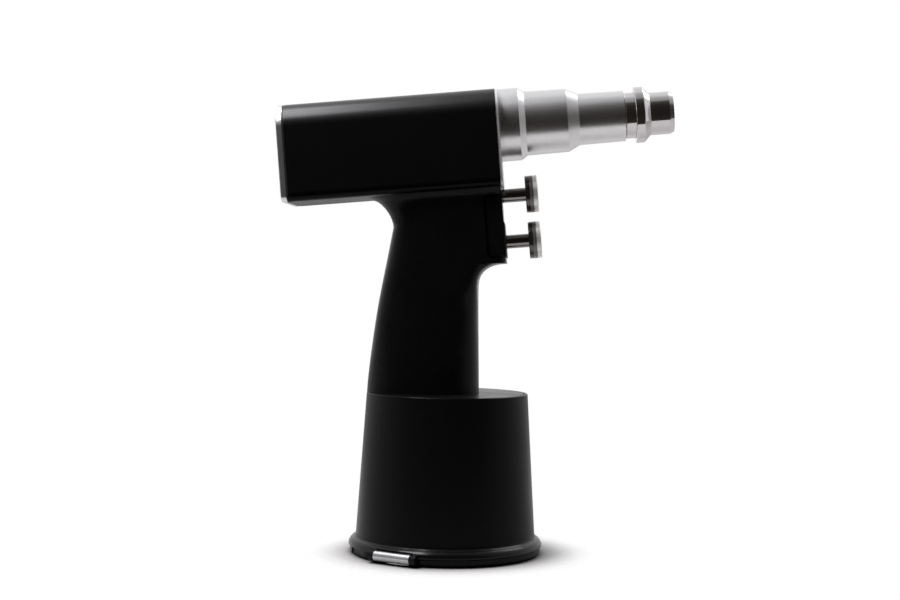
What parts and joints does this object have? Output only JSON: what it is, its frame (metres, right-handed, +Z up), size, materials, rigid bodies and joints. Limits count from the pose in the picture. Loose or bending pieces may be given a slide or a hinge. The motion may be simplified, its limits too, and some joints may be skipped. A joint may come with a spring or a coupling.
{
  "type": "acetabular reamer drill",
  "caption": "Battery surgical drill for hip socket reamers: pistol grip on a round battery base, tilted motor body, stepped nose, two triggers and a quick-release coupling.",
  "frame": {"origin": "centre of the round face that the drill stands on, on the battery base's axis", "axes": "+Z up along the base's axis, +X towards the nose, +Y to the left of someone who holds the drill"},
  "size_m": [0.1963, 0.0985, 0.2328],
  "materials": {
    "base_shell": "matte black moulded plastic",
    "base_top": "matte black moulded plastic",
    "lid_shell": "matte black moulded plastic",
    "grip_shell": "matte black moulded plastic",
    "body_shell": "black anodised, satin",
    "trigger_block_shell": "matte black moulded plastic",
    "satin_aluminium": "bead blasted",
    "cap_steel": "brushed",
    "polished_steel": "polished",
    "trigger_steel": "polished",
    "hinge_steel": "satin",
    "plain_steel": "machined",
    "gear_brass": "machined",
    "motor_metal": "machined",
    "winding": "lacquered",
    "seal_rubber": "matte",
    "board": "satin",
    "battery_plastic": "matte",
    "battery_cell": "satin sleeve",
    "terminal_plastic": "matte"
  },
  "bodies": {
    "housing": {"battery_housing": "base_shell", "base_plate": "base_top", "base_plate_screws": "plain_steel", "battery_case": "battery_plastic", "battery_cells": "battery_cell", "terminal_block": "terminal_plastic", "contact_pins": "gear_brass", "hinge_pin": "plain_steel", "grip_housing": "grip_shell", "grip_foot_screws": "plain_steel", "grip_top_screws": "plain_steel", "wiring_harness": "seal_rubber", "control_board": "board", "upper_housing": "body_shell", "rear_cap": "cap_steel", "rear_gasket": "seal_rubber", "rear_cap_screws": "plain_steel", "front_plate": "cap_steel", "nose_screws": "plain_steel", "motor_plate": "satin_aluminium", "motor_can": "motor_metal", "motor_stator": "winding", "motor_bearings": "plain_steel", "trigger_block": "trigger_block_shell", "trigger_bushings": "gear_brass", "trigger_bracket": "plain_steel", "sensor_board": "board", "upper_trigger_spring": "plain_steel", "lower_trigger_spring": "plain_steel", "nose_housing": "satin_aluminium", "ring_gear": "plain_steel", "spindle_bearings": "plain_steel", "shaft_seal": "seal_rubber"},
    "lid": {"battery_lid": "lid_shell", "lid_seal": "seal_rubber", "hinge_barrel": "hinge_steel", "hinge_screws": "plain_steel"},
    "lid_lock": {"lid_lock": "plain_steel"},
    "upper_trigger": {"upper_trigger_stem": "trigger_steel", "upper_trigger_head": "trigger_steel", "upper_trigger_magnet": "motor_metal"},
    "lower_trigger": {"lower_trigger_stem": "trigger_steel", "lower_trigger_head": "trigger_steel", "lower_trigger_magnet": "motor_metal"},
    "rotor": {"motor_rotor": "motor_metal", "rotor_shaft": "plain_steel"},
    "first_carrier": {"first_carrier": "plain_steel"},
    "spindle": {"output_spindle": "plain_steel", "chuck_body": "polished_steel", "locking_balls": "polished_steel", "retaining_ring": "plain_steel", "collar_spring": "plain_steel"},
    "collar": {"release_collar": "polished_steel"},
    "first_planet_a": {"first_planet_a": "gear_brass"},
    "first_planet_b": {"first_planet_b": "gear_brass"},
    "first_planet_c": {"first_planet_c": "gear_brass"},
    "second_planet_a": {"second_planet_a": "gear_brass"},
    "second_planet_b": {"second_planet_b": "gear_brass"},
    "second_planet_c": {"second_planet_c": "gear_brass"}
  },
  "joints": [
    {"name": "rotor_spin", "type": "hinge", "parent": "housing", "child": "rotor", "pos_m": [0, 0, 0.2108], "axis": [0.9962, 0, 0.0872], "continuous": true},
    {"name": "first_carrier_spin", "type": "hinge", "parent": "housing", "child": "first_carrier", "pos_m": [0, 0, 0.2108], "axis": [0.9962, 0, 0.0872], "continuous": true},
    {"name": "spindle_spin", "type": "hinge", "parent": "housing", "child": "spindle", "pos_m": [0, 0, 0.2108], "axis": [0.9962, 0, 0.0872], "continuous": true},
    {"name": "first_planet_a_spin", "type": "hinge", "parent": "first_carrier", "child": "first_planet_a", "pos_m": [0.00065, 0, 0.20333], "axis": [0.9962, 0, 0.0872], "continuous": true},
    {"name": "first_planet_b_spin", "type": "hinge", "parent": "first_carrier", "child": "first_planet_b", "pos_m": [-0.00033, -0.0065, 0.21454], "axis": [0.9962, 0, 0.0872], "continuous": true},
    {"name": "first_planet_c_spin", "type": "hinge", "parent": "first_carrier", "child": "first_planet_c", "pos_m": [-0.00033, 0.0065, 0.21454], "axis": [0.9962, 0, 0.0872], "continuous": true},
    {"name": "second_planet_a_spin", "type": "hinge", "parent": "spindle", "child": "second_planet_a", "pos_m": [0.00065, 0, 0.20333], "axis": [0.9962, 0, 0.0872], "continuous": true},
    {"name": "second_planet_b_spin", "type": "hinge", "parent": "spindle", "child": "second_planet_b", "pos_m": [-0.00033, -0.0065, 0.21454], "axis": [0.9962, 0, 0.0872], "continuous": true},
    {"name": "second_planet_c_spin", "type": "hinge", "parent": "spindle", "child": "second_planet_c", "pos_m": [-0.00033, 0.0065, 0.21454], "axis": [0.9962, 0, 0.0872], "continuous": true},
    {"name": "collar_slide", "type": "slide", "parent": "spindle", "child": "collar", "axis": [-0.9962, 0, -0.0872], "range_m": [0, 0.003], "stiffness_N_per_m": 900, "springref_m": -0.004, "deforming": ["collar_spring"]},
    {"name": "upper_trigger_press", "type": "slide", "parent": "housing", "child": "upper_trigger", "axis": [-0.9962, 0, -0.0872], "range_m": [0, 0.005], "stiffness_N_per_m": 700, "springref_m": -0.004, "deforming": ["upper_trigger_spring"]},
    {"name": "lower_trigger_press", "type": "slide", "parent": "housing", "child": "lower_trigger", "axis": [-0.9962, 0, -0.0872], "range_m": [0, 0.005], "stiffness_N_per_m": 700, "springref_m": -0.004, "deforming": ["lower_trigger_spring"]},
    {"name": "lid_hinge", "type": "hinge", "parent": "housing", "child": "lid", "pos_m": [-0.02221, -0.04176, 0.0033], "axis": [-0.8829, 0.4695, 0], "range_deg": [0, 110]},
    {"name": "lid_lock_turn", "type": "hinge", "parent": "lid", "child": "lid_lock", "pos_m": [0.01939, 0.03647, 0], "axis": [0, 0, 1], "range_deg": [0, 90]}
  ],
  "couplings": [
    {"joint": "first_carrier_spin", "follows": "rotor_spin", "ratio": 0.2},
    {"joint": "spindle_spin", "follows": "rotor_spin", "ratio": 0.04},
    {"joint": "first_planet_a_spin", "follows": "rotor_spin", "ratio": -0.53333},
    {"joint": "first_planet_b_spin", "follows": "rotor_spin", "ratio": -0.53333},
    {"joint": "first_planet_c_spin", "follows": "rotor_spin", "ratio": -0.53333},
    {"joint": "second_planet_a_spin", "follows": "rotor_spin", "ratio": -0.10667},
    {"joint": "second_planet_b_spin", "follows": "rotor_spin", "ratio": -0.10667},
    {"joint": "second_planet_c_spin", "follows": "rotor_spin", "ratio": -0.10667}
  ]
}
